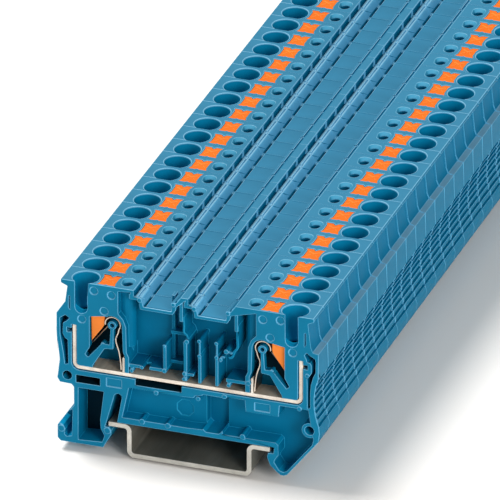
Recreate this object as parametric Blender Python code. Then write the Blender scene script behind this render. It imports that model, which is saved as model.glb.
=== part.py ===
"""Bank of push-in feed-through terminal blocks on a 35 mm top-hat rail.

Each module is a moulded housing, closed at the back and open at the front, with two wire
entries, two push buttons, two test holes and two bridge channels. The module at the front of
the bank shows its inside: a bent current bar and two clamping springs.

X runs along a module, Y along the rail away from the open face, Z up from the rail's
mounting face. Outlines are drawn in millimetres in the X-Z plane and extruded along Y.
"""
import math

import bmesh
import bpy
from mathutils import Matrix, Vector

MM = 0.001

# --- driving dimensions, in millimetres -----------------------------------------------------
MODULES = 26            # modules on the rail
PITCH = 6.2             # distance from one module to the next
BODY_DEPTH = 6.1        # thickness of one moulded housing
FACE_DEPTH = 1.5        # thickness of the front layer over the clamping chambers
CAVITY_DEPTH = 5.25     # depth of the pockets, leaving the back wall
RIB_ROOT = 5.8          # ribs and pegs reach this far back, into the back wall
TOE_DEPTH = 4.6
MID = -0.4              # middle of the upper body, beside the middle of the rail
TOP = 38.6              # top of the housing above the rail's mounting face
CHANNEL_FLOOR = 34.8
CHANNEL_STARTS = (-11.9, -0.1)
SEAT = 7.6              # underside of the body, on the rail's flanges

BUTTONED = 14           # modules whose two buttons are separate pieces here
BUTTON_AT = 17.65       # from MID to a button's middle
FUNNEL_AT = 22.65       # from MID to a wire entry's middle
FUNNEL_Y = 2.45
FUNNEL_RADIUS = 2.8
FUNNEL_BOTTOM = 31.7
TEST_AT = 13.8          # from MID to a test hole's middle
TEST_Y = 3.0
TEST_RADIUS = 1.15
TEST_DEPTH = (25.5, 33.0)    # bottom of the test bore in the first module, and in the others
TEST_TUBE = (1.75, 24.6, 38.0)    # tube round the bore in the open module: radius, bottom, top
WELL = (4.15, 0.6, 5.0)    # button well: width, front and back
WELL_BOTTOM = 30.4
BUTTON_GAP = 0.15       # between a button and its well
BUTTON_HEAD = 38.45
ABOVE = TOP + 1.0       # top of the tools that cut from above

BAR_THICKNESS = 0.8
BAR_Z = 18.8            # middle of the current bar's long leg
BAR_END = 24.5          # from MID to the middle of an upright leg
BAR_TOP = 28.4
BAR_DEPTH = (0.35, 4.95)
GROOVE_CLEARANCE = 0.15

PEG = (-16.25, 29.7)    # spring peg, from MID, and its height
PEG_RADIUS = 0.95
SPRING_THICKNESS = 0.3
LOOP_RADIUS = 1.65
LEG_PIVOT = (-17.7, 28.55)
SPRING_DEPTH = (0.5, 4.7)
LEG_DEPTH = (1.8, 4.7)

RAIL_WIDTH = 35.0
RAIL_HEIGHT = 7.5
RAIL_SHEET = 1.0
RAIL_HAT = 27.0
RAIL_BEND = 1.0         # centreline radius of the rail's bends, drawn as one flat each
RAIL_OVERHANG = 4.0     # rail beyond the last module
RAIL_LENGTH = MODULES * PITCH + RAIL_OVERHANG
FRONT = -RAIL_LENGTH / 2    # the first module's open face, along Y

BLUE = (0.018, 0.172, 0.287)
ORANGE = (0.95, 0.205, 0.018)
TINNED = (0.62, 0.58, 0.52)
SPRING_STEEL = (0.52, 0.46, 0.40)
ZINC = (0.50, 0.48, 0.43)


# --- small helpers --------------------------------------------------------------------------
def clear_scene():
    for thing in list(bpy.data.objects):
        bpy.data.objects.remove(thing, do_unlink=True)


def new_collection(name):
    collection = bpy.data.collections.new(name)
    bpy.context.scene.collection.children.link(collection)
    return collection


def new_material(name, colour, roughness, metallic=0.0):
    material = bpy.data.materials.new(name)
    material.use_nodes = True
    shader = material.node_tree.nodes["Principled BSDF"]
    shader.inputs["Base Color"].default_value = (*colour, 1.0)
    shader.inputs["Roughness"].default_value = roughness
    shader.inputs["Metallic"].default_value = metallic
    return material


def arc(centre, radius, start, end, steps):
    """Points on an arc, angles in degrees from +X towards +Z."""
    points = []
    for i in range(steps + 1):
        angle = math.radians(start + (end - start) * i / steps)
        points.append((centre[0] + radius * math.cos(angle), centre[1] + radius * math.sin(angle)))
    return points


def mirrored(points):
    """The outline on the other side of the module's middle."""
    return [(2 * MID - x, z) for x, z in reversed(points)]


def shifted(points, dx, dz=0.0):
    return [(x + dx, z + dz) for x, z in points]


def ribbon(path, thickness):
    """Closed outline of a strip of sheet that follows a path of points."""
    left, right = [], []
    for i, point in enumerate(path):
        here = Vector(point)
        before = (here - Vector(path[i - 1])).normalized() if i else None
        after = (Vector(path[i + 1]) - here).normalized() if i + 1 < len(path) else None
        before = before or after
        after = after or before
        mitre = (before + after).normalized()
        normal = Vector((-mitre.y, mitre.x)) / max(mitre.dot(after), 0.3)
        left.append(tuple(here + normal * thickness / 2))
        right.append(tuple(here - normal * thickness / 2))
    return left + right[::-1]


def rounded(points, radius, steps=3):
    """An open path with its inner corners rounded."""
    path = [points[0]]
    for before, corner, after in zip(points, points[1:], points[2:]):
        here = Vector(corner)
        back = (Vector(before) - here).normalized()
        ahead = (Vector(after) - here).normalized()
        half = back.angle(ahead) / 2
        reach = radius / math.tan(half)
        centre = here + (back + ahead).normalized() * radius / math.sin(half)
        first = here + back * reach - centre
        last = here + ahead * reach - centre
        turn = first.angle_signed(last)
        for i in range(steps + 1):
            spot = first.copy()
            spot.rotate(Matrix.Rotation(-turn * i / steps, 2))
            path.append(tuple(centre + spot))
    return path + [points[-1]]


def slab(name, outline, front, back, collection, y=FRONT):
    """A flat outline in X-Z, extruded along Y from front to back of a module, as a mesh object."""
    curve = bpy.data.curves.new(name, "CURVE")
    curve.dimensions = "2D"
    curve.fill_mode = "BOTH"
    curve.extrude = (back - front) / 2 * MM
    spline = curve.splines.new("POLY")
    spline.points.add(len(outline) - 1)
    for point, (x, z) in zip(spline.points, outline):
        point.co = (x * MM, z * MM, 0.0, 1.0)
    spline.use_cyclic_u = True
    drawn = bpy.data.objects.new(name + "_outline", curve)
    drawn.rotation_euler = (math.pi / 2, 0.0, 0.0)
    drawn.location = (0.0, (y + (front + back) / 2) * MM, 0.0)
    collection.objects.link(drawn)
    bpy.context.view_layer.update()
    graph = bpy.context.evaluated_depsgraph_get()
    mesh = bpy.data.meshes.new_from_object(drawn.evaluated_get(graph))
    mesh.name = name
    edit = bmesh.new()
    edit.from_mesh(mesh)
    bmesh.ops.remove_doubles(edit, verts=edit.verts, dist=1e-6)
    bmesh.ops.transform(edit, matrix=drawn.matrix_world, verts=edit.verts)
    bmesh.ops.recalc_face_normals(edit, faces=edit.faces)
    edit.to_mesh(mesh)
    edit.free()
    bpy.data.objects.remove(drawn, do_unlink=True)
    solid = bpy.data.objects.new(name, mesh)
    collection.objects.link(solid)
    return solid


def post(name, x, y, low, high, radius, sides, collection, top_radius=None):
    """An upright cylinder or cone between two heights."""
    mesh = bpy.data.meshes.new(name)
    edit = bmesh.new()
    bmesh.ops.create_cone(edit, cap_ends=True, segments=sides, radius1=radius * MM,
                          radius2=(top_radius or radius) * MM, depth=(high - low) * MM)
    turn = Matrix.Rotation(math.pi / sides, 4, "Z")
    place = Matrix.Translation((x * MM, y * MM, (low + high) / 2 * MM))
    bmesh.ops.transform(edit, matrix=place @ turn, verts=edit.verts)
    edit.to_mesh(mesh)
    edit.free()
    solid = bpy.data.objects.new(name, mesh)
    collection.objects.link(solid)
    return solid


def combine(target, tool, operation):
    """Boolean with a tool object, which stays as a hidden cutter."""
    tool.hide_render = True
    tool.display_type = "WIRE"
    step = target.modifiers.new(tool.name, "BOOLEAN")
    step.operation = operation
    step.solver = "EXACT"
    step.object = tool


def finish(solid, material, origin=None):
    """Gives a sub-part its material, and its origin on its joint's axis."""
    solid.data.materials.clear()
    solid.data.materials.append(material)
    if origin is not None:
        spot = Vector(origin) * MM
        solid.data.transform(Matrix.Translation(-spot))
        solid.location = spot


# --- outlines of the housing ----------------------------------------------------------------
def channel_outline(start):
    """Ledge, floor and hook of one bridge channel, left to right."""
    steps = [(0.0, TOP), (0.0, 36.9), (1.6, 36.9), (2.1, CHANNEL_FLOOR), (8.1, CHANNEL_FLOOR),
             (8.4, 36.7), (9.5, 36.7), (9.7, TOP)]
    return [(start + x, z) for x, z in steps]


def housing_outline():
    """The module's whole side view, clockwise from the left lip."""
    top = [(-27.7, TOP)] + channel_outline(CHANNEL_STARTS[0]) + channel_outline(CHANNEL_STARTS[1])
    right_side = [(26.9, TOP), (27.0, 37.8), (25.6, 37.2), (26.3, 31.6), (28.0, 30.4), (28.0, 26.1),
                  (27.3, 23.8), (26.95, 20.8), (27.2, 17.0), (28.2, 12.4), (28.0, 10.5)]
    right_foot = [(21.6, 2.3), (20.3, 1.5), (18.9, 1.9), (17.6, 3.2), (16.9, 5.2), (17.1, 6.2),
                  (18.3, 6.25), (18.4, SEAT)]
    latch_gap = [(-15.6, SEAT), (-14.6, 13.2)] + arc((-15.4, 13.4), 0.85, 20, 160, 3) + [
        (-18.0, 7.0), (-18.3, 6.2)]
    left_foot = [(-17.4, 6.2), (-16.9, 5.5), (-16.9, 4.6), (-18.7, 1.3), (-27.9, 1.3), (-28.6, 2.0),
                 (-28.6, 4.9), (-25.0, 9.9), (-25.0, 14.2)]
    left_side = [(-25.5, 14.8), (-28.0, 14.9), (-28.6, 15.9), (-28.0, 20.0), (-28.7, 25.9),
                 (-28.7, 30.7), (-26.8, 33.6), (-26.3, 37.2), (-27.7, 37.8)]
    return top + right_side + right_foot + latch_gap + left_foot + left_side


def chamber_window():
    """Left clamping chamber in the front layer: the opening round peg, stem and stop."""
    peg = (MID + PEG[0], PEG[1])
    over_loop = arc(peg, 2.15, 125, 0, 6)
    right_edge = [(-14.3, 24.0), (-13.9, 23.0), (-13.9, 19.0)]
    stop_below = [(-20.9, 19.0), (-20.9, 19.8), (-18.4, 24.2), (-16.5, 24.4)]
    round_peg = arc(peg, PEG_RADIUS, -70, 250, 10)
    stop_above = [(-17.3, 25.4), (-18.7, 25.3), (-21.8, 22.2), (-22.3, 22.8), (-21.5, 24.0)]
    return [(-21.5, 31.0), (-18.5, 31.5)] + over_loop + right_edge + stop_below + round_peg + stop_above


def chamber_deep():
    """Left clamping chamber behind the front layer, where the leg swings and the wire goes."""
    peg = (MID + PEG[0], PEG[1])
    over_loop = arc(peg, 2.15, 125, 0, 6)
    below = [(-14.3, 24.0), (-13.9, 23.0), (-13.9, 19.0), (-24.2, 19.0), (-24.2, 30.9)]
    round_to_peg = [(-21.7, 30.9), (-21.7, 31.3)]
    return over_loop + below + round_to_peg


def button_well_outline():
    """Side view of the space for a left button through its whole travel."""
    middle = MID - BUTTON_AT
    half = WELL[0] / 2
    return [(middle - half, ABOVE), (middle + half, ABOVE), (middle + half, 32.0), (-18.3, 31.0),
            (-18.4, 29.0), (-21.6, 27.0), (-21.6, 31.3), (middle - half, 31.9)]


def centre_cavity():
    """The open middle of the module, under the channels and above the bar."""
    roof = []
    for start in CHANNEL_STARTS:
        roof += shifted([(-0.8, 37.6), (-0.8, 36.0), (1.0, 36.0), (1.5, 34.0), (8.7, 34.0), (8.9, 35.8)],
                        start)
    left_wall = [(-13.0, 19.0), (-13.0, 22.9), (-13.5, 24.0), (-13.6, 29.7), (-14.2, 31.4), (-15.3, 32.6),
                 (-15.3, 37.6)]
    right_wall = mirrored(left_wall)
    return left_wall + roof + right_wall


def lower_recess():
    """The recess between the bar's bed and the strip that sits on the rail."""
    return [(-13.0, 15.7), (-14.5, 8.9), (2.8, 8.9), (3.3, 8.6), (6.8, 8.6), (7.6, 9.1), (19.2, 9.3),
            (19.2, 6.2), (18.7, 4.3), (19.6, 2.9), (20.6, 2.8), (26.9, 10.6), (26.2, 14.8), (25.6, 17.0),
            (19.5, 17.0), (19.3, 14.9), (12.4, 14.9), (12.2, 17.0), (3.0, 17.0), (2.5, 15.9), (-1.0, 15.9),
            (-1.3, 15.2), (-12.0, 15.2)]


def foot_pocket():
    return [(-23.9, 14.2), (-18.5, 14.2), (-19.3, 7.6), (-19.2, 5.6), (-18.5, 4.0), (-19.5, 2.3),
            (-24.1, 2.1)]


def toe_pocket():
    return [(-25.4, 9.6), (-26.6, 9.6), (-29.4, 5.6), (-27.9, 5.0), (-27.1, 4.2), (-27.0, 3.2),
            (-25.5, 2.9)]


def edge_slot():
    """Slot between the outer wall and the holder of the bar's left end."""
    return [(-27.9, 29.9), (-26.6, 30.3), (-26.1, 29.4), (-27.1, 28.0), (-27.1, 26.2), (-26.3, 25.4),
            (-26.3, 19.6), (-26.9, 19.2), (-27.2, 22.0), (-27.9, 26.0)]


def bar_path():
    left, right = MID - BAR_END, MID + BAR_END
    return rounded([(left, BAR_TOP), (left, BAR_Z), (right, BAR_Z), (right, BAR_TOP)], 1.1)


def bar_groove():
    path = bar_path()
    path[0] = (path[0][0], BAR_TOP + GROOVE_CLEARANCE)
    path[-1] = (path[-1][0], BAR_TOP + GROOVE_CLEARANCE)
    return ribbon(path, BAR_THICKNESS + 2 * GROOVE_CLEARANCE)


def inner_plates():
    """Upright and level ribs that stand in the open middle."""
    uprights = [(-5.6, -4.9, 20.9, 27.2), (-1.2, -0.4, 19.6, 28.7), (1.9, 2.6, 19.6, 29.2),
                (5.6, 6.3, 19.6, 29.4)]
    levels = [(-13.2, -10.3, 20.9, 21.6), (-8.6, -4.9, 20.9, 21.6), (8.0, 12.4, 20.9, 21.6)]
    hanging = [(-2.0, -1.3, 33.0, 37.8), (9.9, 10.6, 32.8, 37.8)]
    return uprights + levels + hanging


# --- sub-parts ------------------------------------------------------------------------------
def make_shared_cuts(y, label, cutters):
    """Openings that every housing has: wire entries, button wells and test holes."""
    cuts = []
    for side in (-1, 1):
        tag = f"{label}_{'l' if side < 0 else 'r'}"
        cuts.append(post(f"entry_{tag}", MID + side * FUNNEL_AT, y + FUNNEL_Y, FUNNEL_BOTTOM, ABOVE,
                         FUNNEL_RADIUS, 12, cutters))
        cuts.append(post(f"test_{tag}", MID + side * TEST_AT, y + TEST_Y, TEST_DEPTH[1], ABOVE,
                         TEST_RADIUS, 8, cutters))
    return cuts


def make_front_housing(parts, cutters, material):
    housing = slab("housing_01", housing_outline(), 0.0, BODY_DEPTH, parts)
    for cut in make_shared_cuts(FRONT, "01", cutters):
        combine(housing, cut, "DIFFERENCE")
    one_sided = {"edge_slot": edge_slot(), "bar_groove": bar_groove(), "centre_cavity": centre_cavity(),
                 "lower_recess": lower_recess(), "foot_pocket": foot_pocket(), "toe_pocket": toe_pocket(),
                 "window_slot": [(-24.5, 15.5), (-24.5, 17.1), (-19.4, 17.1), (-19.4, 15.5)],
                 "under_bar": [(-11.5, 17.2), (-11.5, 18.8), (-1.5, 18.8), (-1.5, 17.2)]}
    shallower = {"bar_groove": BAR_DEPTH[1] + GROOVE_CLEARANCE, "toe_pocket": TOE_DEPTH}
    for name, outline in one_sided.items():
        depth = shallower.get(name, CAVITY_DEPTH)
        combine(housing, slab(name, outline, -1.0, depth, cutters), "DIFFERENCE")
    radius, low, high = TEST_TUBE
    for side, tag in ((-1, "l"), (1, "r")):
        tube = post(f"test_tube_{tag}", MID + side * TEST_AT, FRONT + TEST_Y + 0.2, low, high, radius, 12,
                    cutters)
        combine(housing, tube, "UNION")
    for name, outline, front, back in (
            ("chamber_window", chamber_window(), -1.0, FACE_DEPTH + 0.1),
            ("chamber_deep", chamber_deep(), FACE_DEPTH, CAVITY_DEPTH),
            ("button_well", button_well_outline(), WELL[1], WELL[2])):
        for tag, drawn in (("l", outline), ("r", mirrored(outline))):
            combine(housing, slab(f"{name}_{tag}", drawn, front, back, cutters), "DIFFERENCE")
    for side, tag in ((-1, "l"), (1, "r")):
        wire_hole = post(f"wire_hole_{tag}", MID + side * FUNNEL_AT, FRONT + 3.1, 30.0, 32.0, 1.1, 10,
                         cutters, 1.9)
        combine(housing, wire_hole, "DIFFERENCE")
        peg = slab(f"peg_{tag}", arc((MID + side * -PEG[0], PEG[1]), PEG_RADIUS, 0, 330, 11), 0.0,
                   RIB_ROOT, cutters)
        combine(housing, peg, "UNION")
        bore = post(f"test_bore_{tag}", MID + side * TEST_AT, FRONT + TEST_Y, TEST_DEPTH[0], ABOVE,
                    TEST_RADIUS, 8, cutters)
        combine(housing, bore, "DIFFERENCE")
    for i, (x0, x1, low, high) in enumerate(inner_plates()):
        outline = [(x0, low), (x0, high), (x1, high), (x1, low)]
        combine(housing, slab(f"plate_{i}", outline, 0.25, RIB_ROOT, cutters), "UNION")
    finish(housing, material)


def make_bank_housing(number, parts, cutters, material):
    """A module behind the first: its inside is closed off by its neighbours."""
    y = FRONT + (number - 1) * PITCH
    housing = slab(f"housing_{number:02d}", housing_outline(), 0.0, BODY_DEPTH, parts, y)
    cuts = make_shared_cuts(y, f"{number:02d}", cutters)
    for side, tag in ((-1, "l"), (1, "r")):
        middle = MID + side * BUTTON_AT
        half = WELL[0] / 2
        outline = [(middle - half, WELL_BOTTOM), (middle - half, ABOVE), (middle + half, ABOVE),
                   (middle + half, WELL_BOTTOM)]
        cuts.append(slab(f"well_{number:02d}_{tag}", outline, WELL[1], WELL[2], cutters, y))
    for cut in cuts:
        combine(housing, cut, "DIFFERENCE")
    finish(housing, material)


def button_outline(deep):
    """Side view of a left button; the deep one carries the wedge that opens the spring."""
    middle = MID - BUTTON_AT
    half = WELL[0] / 2 - BUTTON_GAP
    head = [(middle - half, BUTTON_HEAD), (middle - 0.6, BUTTON_HEAD), (middle, 37.9),
            (middle + 0.6, BUTTON_HEAD), (middle + half, BUTTON_HEAD)]
    if not deep:
        return head + [(middle + half, 32.2), (middle - half, 32.2)]
    wedge = [(middle + half, 33.7), (-18.55, 33.0), (-18.55, 29.4), (-18.9, 28.6), (-21.3, 25.2),
             (-21.4, 31.1), (middle - half, 31.7)]
    return head + wedge


def make_button(number, side, parts, material):
    y = FRONT + (number - 1) * PITCH
    outline = button_outline(number == 1)
    if side == "right":
        outline = mirrored(outline)
    button = slab(f"button_{side}_{number:02d}", outline, WELL[1] + BUTTON_GAP, WELL[2] - BUTTON_GAP,
                  parts, y)
    middle = MID + (BUTTON_AT if side == "right" else -BUTTON_AT)
    finish(button, material, (middle, y + (WELL[1] + WELL[2]) / 2, TOP))


def make_current_bar(parts, cutters, material):
    bar = slab("current_bar", ribbon(bar_path(), BAR_THICKNESS), *BAR_DEPTH, parts)
    for tag, x in (("l", -14.3), ("r", 2 * MID + 14.3)):
        outline = [(x - 0.25, BAR_Z), (x - 0.25, 22.6), (x + 0.25, 22.6), (x + 0.25, BAR_Z)]
        tab = slab(f"bar_tab_{tag}", outline, BAR_DEPTH[0] + 0.1, 4.4, cutters)
        combine(bar, tab, "UNION")
    finish(bar, material)


def make_springs(parts, material):
    """Fixed loop and swinging clamping leg, left and right."""
    peg = (MID + PEG[0], PEG[1])
    loop = [(-14.85, 19.6), (-15.2, 23.6), (-15.95, 25.9), (-16.0, 27.0)] + arc(peg, LOOP_RADIUS, -25, 190, 9)
    pivot = (MID + LEG_PIVOT[0], LEG_PIVOT[1])
    leg = [pivot, (-21.6, 24.0), (-24.1, 23.1)]
    for side in ("left", "right"):
        loop_outline = ribbon(loop, SPRING_THICKNESS)
        leg_outline = ribbon(leg, SPRING_THICKNESS)
        axis_x = pivot[0]
        if side == "right":
            loop_outline = mirrored(loop_outline)
            leg_outline = mirrored(leg_outline)
            axis_x = 2 * MID - pivot[0]
        finish(slab(f"spring_loop_{side}", loop_outline, *SPRING_DEPTH, parts), material)
        finish(slab(f"spring_leg_{side}", leg_outline, *LEG_DEPTH, parts), material,
               (axis_x, FRONT + sum(LEG_DEPTH) / 2, pivot[1]))


def make_rail(parts, material):
    middle_flange = RAIL_HEIGHT - RAIL_SHEET / 2
    wall = (RAIL_HAT - RAIL_SHEET) / 2
    path = rounded([(-RAIL_WIDTH / 2, middle_flange), (-wall, middle_flange), (-wall, RAIL_SHEET / 2),
                    (wall, RAIL_SHEET / 2), (wall, middle_flange), (RAIL_WIDTH / 2, middle_flange)],
                   RAIL_BEND, 1)
    finish(slab("din_rail", ribbon(path, RAIL_SHEET), 0.0, RAIL_LENGTH, parts), material)


def main():
    clear_scene()
    parts = new_collection("din_rail_terminal_block")
    cutters = new_collection("cutters")
    blue = new_material("housing_plastic", BLUE, 0.42)
    orange = new_material("button_plastic", ORANGE, 0.45)
    tinned = new_material("tinned_copper", TINNED, 0.35, 1.0)
    steel = new_material("spring_steel", SPRING_STEEL, 0.3, 1.0)
    zinc = new_material("zinc_plated_steel", ZINC, 0.4, 1.0)
    make_rail(parts, zinc)
    make_front_housing(parts, cutters, blue)
    for number in range(2, MODULES + 1):
        make_bank_housing(number, parts, cutters, blue)
    for number in range(1, BUTTONED + 1):
        for side in ("left", "right"):
            make_button(number, side, parts, orange)
    make_current_bar(parts, cutters, tinned)
    make_springs(parts, steel)


main()
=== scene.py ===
import math

import bmesh
import bpy
from mathutils import Matrix, Vector


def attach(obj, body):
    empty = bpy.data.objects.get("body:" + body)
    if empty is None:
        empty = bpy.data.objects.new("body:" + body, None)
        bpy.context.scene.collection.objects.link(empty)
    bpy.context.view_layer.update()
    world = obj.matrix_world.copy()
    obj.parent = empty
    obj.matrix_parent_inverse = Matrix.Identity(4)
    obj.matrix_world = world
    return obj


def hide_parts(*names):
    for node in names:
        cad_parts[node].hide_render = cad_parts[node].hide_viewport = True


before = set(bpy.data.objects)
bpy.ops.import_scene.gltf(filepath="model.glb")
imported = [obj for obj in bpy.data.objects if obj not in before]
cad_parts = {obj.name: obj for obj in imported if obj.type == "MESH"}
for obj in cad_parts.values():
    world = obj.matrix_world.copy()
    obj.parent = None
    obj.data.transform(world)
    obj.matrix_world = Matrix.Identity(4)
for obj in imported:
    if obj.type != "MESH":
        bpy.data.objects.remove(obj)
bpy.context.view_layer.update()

MM = 0.001

# --- dimensions shared with the CAD model, in millimetres ----------------------------------
MODULES = 26
PITCH = 6.2
FRONT = -82.6           # the first module's open face, along Y
RAIL_LENGTH = 165.2
MID = -0.4              # middle of the upper body
TOP = 38.6
CHANNEL_STARTS = (-11.9, -0.1)
SEAT = 7.6
BUTTONED = 14           # modules whose buttons move in the CAD model
BUTTON_AT = 17.65
FUNNEL_AT = 22.65
FUNNEL_Y = 2.45
FUNNEL_RADIUS = 2.8
TEST_AT = 13.8
TEST_Y = 3.0
WELL = (0.62, 4.98)     # front and back of a button's head
BAR_THICKNESS = 0.8
BAR_Z = 18.8
BAR_END = 24.5
BAR_TOP = 28.4
BAR_DEPTH = (0.35, 4.95)
PEG = (-16.25, 29.7)
PEG_RADIUS = 0.95
LEG_PIVOT = (-17.7, 28.55)
CAVITY_DEPTH = 5.25
FACE_DEPTH = 1.5

# --- dimensions of the looks ----------------------------------------------------------------
SIDES = (-1, 1)         # left and right of a module's middle
DEPTH = 6.17            # a module and the hairline seam to the next
FLANGE = 5.85           # where the closed back wall begins
CHANNEL_RIB = 4.95
CHANNEL_FLOOR = (34.9, 35.3)    # heights that hold the channels' floors
TOP_SPAN = (-27.0, 26.3)        # the top face along X, between the lips of the flanks
LIP = 0.32              # front edge of the first module's flank
SOFT = 0.1              # edge rounding of moulded parts
BOSS = (26.05, 12.85)   # bored boss at the right edge of the open side
STRIP_BACK = 4.7        # back edge of a spring's strip
MARK_DEPTH = 0.22       # moulded marks on the open side
RECESS_DEPTH = 3.0      # lower left recess of the open side
GROOVE_DEPTH = 5.1      # the current bar's groove
OPEN_SIDE = -1.0        # cuts into the open side start in front of it
BEAD_FRONT = -0.1       # beads stand a little proud of the open side
RIB_BACK = CAVITY_DEPTH + 0.3   # ribs end inside the back wall
ABOVE = TOP + 1.0       # cuts from above start over the top
HEAD_TOP = 38.5         # top of a button's head
WELL_GAP = 0.09         # between a button's head and its well
RAIL_SHEET = 1.0        # thickness of the rail's sheet

# --- clean-up of a finished mesh; angles in degrees -----------------------------------------
MERGE = 0.006           # points closer than this are made one
FLAT = 0.6              # faces that turn less than this are made one
CREASE = 33.0           # edges that turn more than this are rounded
SHARP = 50.0            # edges that turn more than this are shaded as sharp

# --- finishes -------------------------------------------------------------------------------
CLOUD, MOTTLE, FINE = 140.0, 900.0, 5200.0   # scales of a plastic's tint, gloss and grain
STREAKS = 260.0         # scale of a metal's streaks
MIX_A, MIX_B, MIX_RESULT = 6, 7, 2           # a Mix node's colour sockets
CLOUDINESS = 0.08       # how far a plastic's colour wanders, as a share of it
GRAIN = 0.012           # depth of a plastic's fine grain
EVEN = (1.0, 1.0, 1.0)  # a metal's tint with no direction
HIGHLIGHT = 1                # index of the painted highlight among a part's materials


# --- mesh helpers ---------------------------------------------------------------------------
def as_object(name, edit):
    """A finished edit mesh as an object of the scene."""
    bmesh.ops.recalc_face_normals(edit, faces=edit.faces)
    mesh = bpy.data.meshes.new(name)
    edit.to_mesh(mesh)
    edit.free()
    thing = bpy.data.objects.new(name, mesh)
    bpy.context.scene.collection.objects.link(thing)
    return thing


def between(near_outline, far_outline, name):
    """A closed solid between two matching outlines."""
    edit = bmesh.new()
    near = [edit.verts.new(point) for point in near_outline]
    far = [edit.verts.new(point) for point in far_outline]
    edit.faces.new(near)
    edit.faces.new(far[::-1])
    for i in range(len(near)):
        edit.faces.new((near[i - 1], near[i], far[i], far[i - 1]))
    return as_object(name, edit)


def prism(outline, front, back, name="tool"):
    """A closed outline in X-Z, extruded along Y."""
    return between([(x, front, z) for x, z in outline], [(x, back, z) for x, z in outline], name)


def upright(outline, low, high, name="tool"):
    """A closed outline in X-Y, extruded along Z."""
    return between([(x, y, low) for x, y in outline], [(x, y, high) for x, y in outline], name)


def stack(sections, name="tool"):
    """A solid through level sections with equal numbers of points, from the bottom up."""
    edit = bmesh.new()
    rings = [[edit.verts.new(point) for point in section] for section in sections]
    edit.faces.new(rings[0][::-1])
    edit.faces.new(rings[-1])
    for lower, upper in zip(rings, rings[1:]):
        for i in range(len(lower)):
            edit.faces.new((lower[i - 1], lower[i], upper[i], upper[i - 1]))
    return as_object(name, edit)


def ring(x, y, radius, height, sides, back=None):
    """A level circle; with back given, (y, radius) of its rear half, it is a long hole."""
    section = []
    for i in range(sides):
        angle = 2 * math.pi * (i + 0.5) / sides
        middle, reach = back if back and math.sin(angle) > 0 else (y, radius)
        section.append((x + reach * math.cos(angle), middle + reach * math.sin(angle), height))
    return section


def turned(x, y, profile, sides, name="tool"):
    """A vertical turned shape: profile is (radius, height) from the bottom up."""
    return stack([ring(x, y, radius, height, sides) for radius, height in profile], name)


def evaluated(thing):
    """The object, with its modifiers applied to its mesh."""
    bpy.context.view_layer.update()
    graph = bpy.context.evaluated_depsgraph_get()
    mesh = bpy.data.meshes.new_from_object(
        thing.evaluated_get(graph), preserve_all_data_layers=True, depsgraph=graph)
    thing.modifiers.clear()
    thing.data = mesh
    return thing


def combine(target, tools, operation):
    """One exact Boolean with several tools, which are then dropped."""
    group = bpy.data.collections.new("tools")
    bpy.context.scene.collection.children.link(group)
    for tool in tools:
        bpy.context.scene.collection.objects.unlink(tool)
        group.objects.link(tool)
    step = target.modifiers.new("combine", "BOOLEAN")
    step.operation = operation
    step.solver = "EXACT"
    step.operand_type = "COLLECTION"
    step.collection = group
    evaluated(target)
    for tool in tools:
        bpy.data.objects.remove(tool, do_unlink=True)
    bpy.data.collections.remove(group)
    return target


def soften(thing, width, materials, segments=2, seam=None):
    """Rounds the edges of a moulded part and gives the rounding the last of its materials, a
    lighter copy as a painted highlight.

    seam(edge) says how much of the rounding an edge gets, from 0 to 1.
    """
    edit = bmesh.new()
    edit.from_mesh(thing.data)
    bmesh.ops.remove_doubles(edit, verts=edit.verts, dist=MERGE)
    bmesh.ops.dissolve_limit(edit, angle_limit=math.radians(FLAT), use_dissolve_boundaries=False,
                             verts=edit.verts, edges=edit.edges, delimit=set())
    bmesh.ops.dissolve_degenerate(edit, edges=edit.edges, dist=MERGE / 2)
    bmesh.ops.triangulate(edit, faces=[face for face in edit.faces if len(face.verts) > 4])
    bmesh.ops.recalc_face_normals(edit, faces=edit.faces)
    for face in edit.faces:
        face.smooth = True
        face.material_index = 0
    share = edit.edges.layers.float.new("bevel_weight_edge")
    for edge in edit.edges:
        if len(edge.link_faces) == 2 and edge.calc_face_angle(0.0) > math.radians(CREASE):
            edge[share] = seam(edge) if seam else 1.0
    edit.to_mesh(thing.data)
    edit.free()
    thing.data.materials.clear()
    for material in materials:
        thing.data.materials.append(material)
    rounding = thing.modifiers.new("rounding", "BEVEL")
    rounding.width = width
    rounding.segments = segments
    rounding.limit_method = "WEIGHT"
    rounding.use_clamp_overlap = False
    rounding.miter_outer = "MITER_ARC"
    rounding.material = len(materials) - 1
    evaluated(thing)
    thing.data.set_sharp_from_angle(angle=math.radians(SHARP))
    flat = thing.modifiers.new("flat_faces", "WEIGHTED_NORMAL")
    flat.keep_sharp = True
    flat.weight = 80
    return evaluated(thing)


def painted_lit_ends(thing):
    """Faces that face front or back take the part's last, lighter material: painted light."""
    last = len(thing.data.materials) - 1
    for face in thing.data.polygons:
        if abs(face.normal.y) > 0.7:
            face.material_index = last
    return thing


def scaled(thing, y=0.0):
    """From millimetres to metres, with the part moved along the rail."""
    thing.data.transform(Matrix.Translation((0.0, y * MM, 0.0)) @ Matrix.Scale(MM, 4))
    return thing


def arc(centre, radius, start, end, steps):
    """Points along a circle from one angle to another, in degrees."""
    points = []
    for i in range(steps + 1):
        angle = math.radians(start + (end - start) * i / steps)
        points.append((centre[0] + radius * math.cos(angle), centre[1] + radius * math.sin(angle)))
    return points


def circle(x, z, radius, sides=14):
    return arc((x, z), radius, 0.0, 360.0 - 360.0 / sides, sides - 1)


def across(x):
    """The same place on the other side of the module's middle."""
    return 2 * MID - x


def mirrored(points):
    return [(across(x), z) for x, z in reversed(points)]


def shifted(points, dx):
    return [(x + dx, z) for x, z in points]


def block(x0, z0, x1, z1):
    return [(x0, z0), (x0, z1), (x1, z1), (x1, z0)]


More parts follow.
